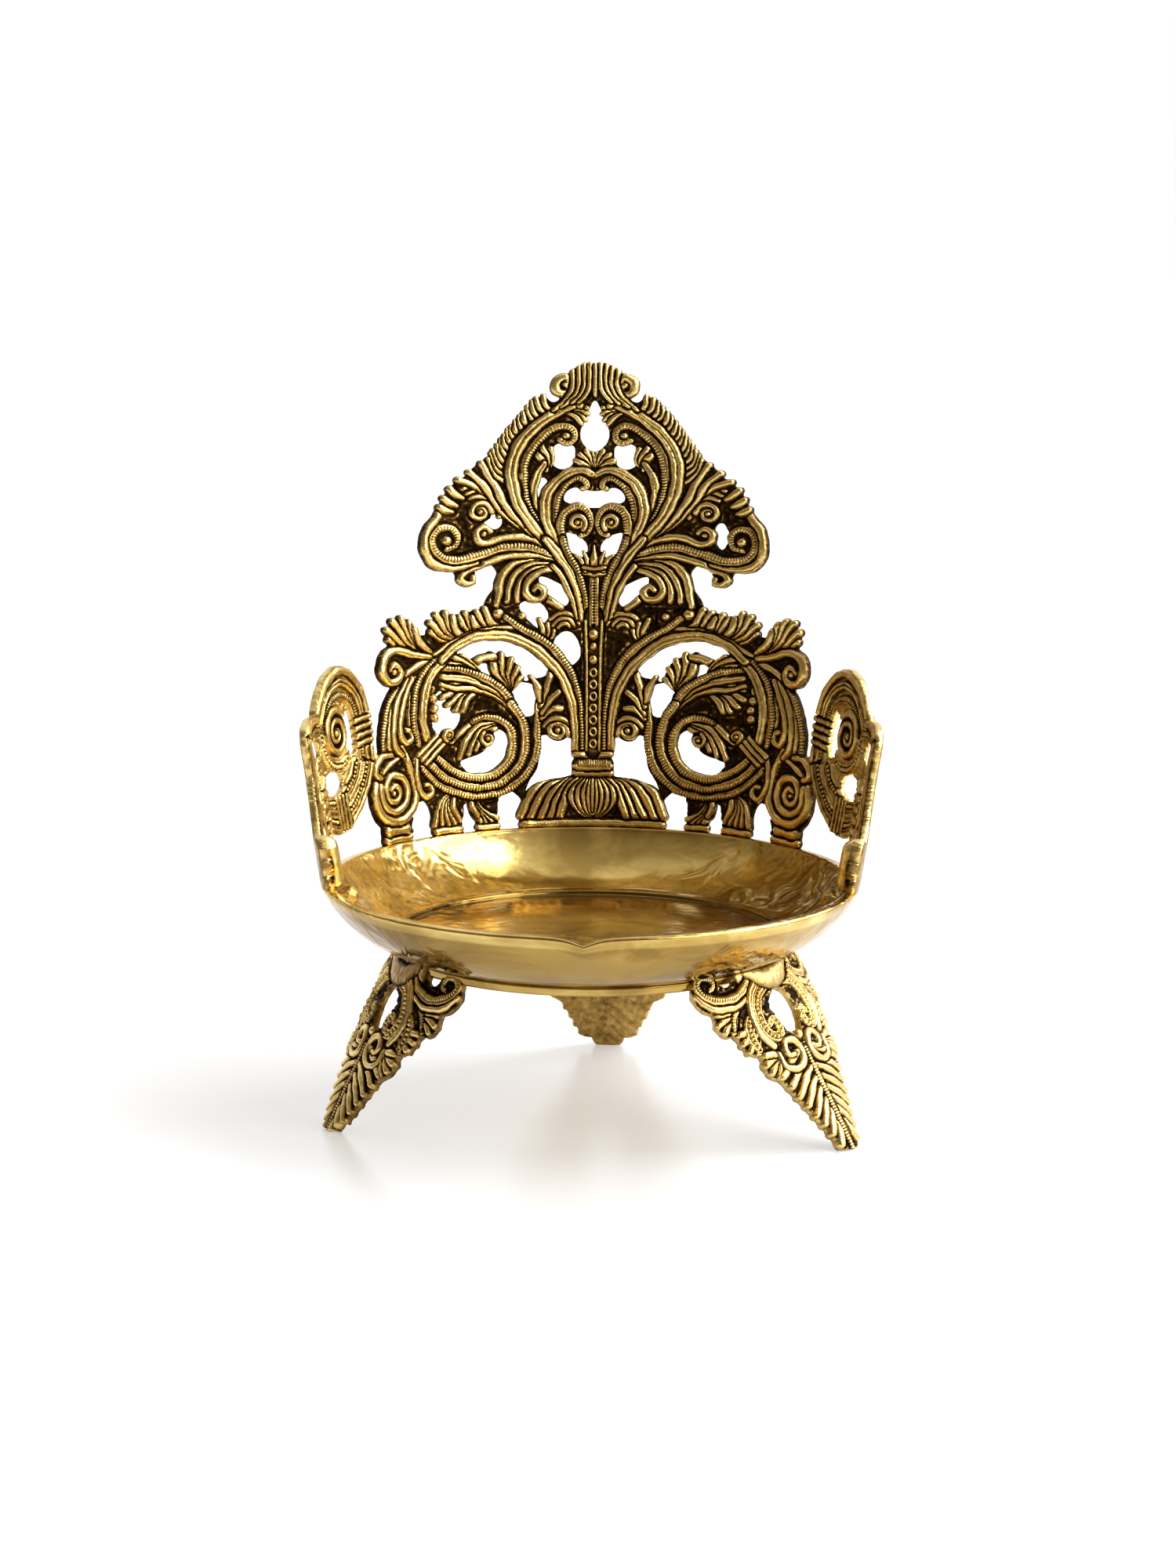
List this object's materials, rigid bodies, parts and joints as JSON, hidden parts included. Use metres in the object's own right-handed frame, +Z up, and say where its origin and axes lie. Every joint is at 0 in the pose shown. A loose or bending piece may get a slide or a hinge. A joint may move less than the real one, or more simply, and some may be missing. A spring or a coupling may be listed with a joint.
{
  "type": "diya oil lamp",
  "caption": "Brass oil dish with a pinched wick spout on three splayed pierced legs, backed by a pierced foliate screen with side wings.",
  "frame": {"origin": "on the table under the centre of the dish, in the plane that the three toes stand on", "axes": "+Z up, -Y towards the wick spout, +Y towards the back screen, +X to the right of someone facing the spout"},
  "size_m": [0.1245, 0.1331, 0.1529],
  "materials": {
    "polished_brass": "worn satin polish with soft hand-made waves",
    "antique_brass": "cast relief, bright on the high spots and dark brown in the recesses",
    "braze_metal": "lumpy satin filler metal"
  },
  "bodies": {
    "root": {"dish": "polished_brass", "base_plate": "polished_brass", "back_screen": "antique_brass", "wing_left": "antique_brass", "wing_right": "antique_brass", "leg_rear": "antique_brass", "leg_left": "antique_brass", "leg_right": "antique_brass", "screen_brazes": "braze_metal", "wing_brazes": "braze_metal", "leg_brazes": "braze_metal"}
  },
  "joints": []
}
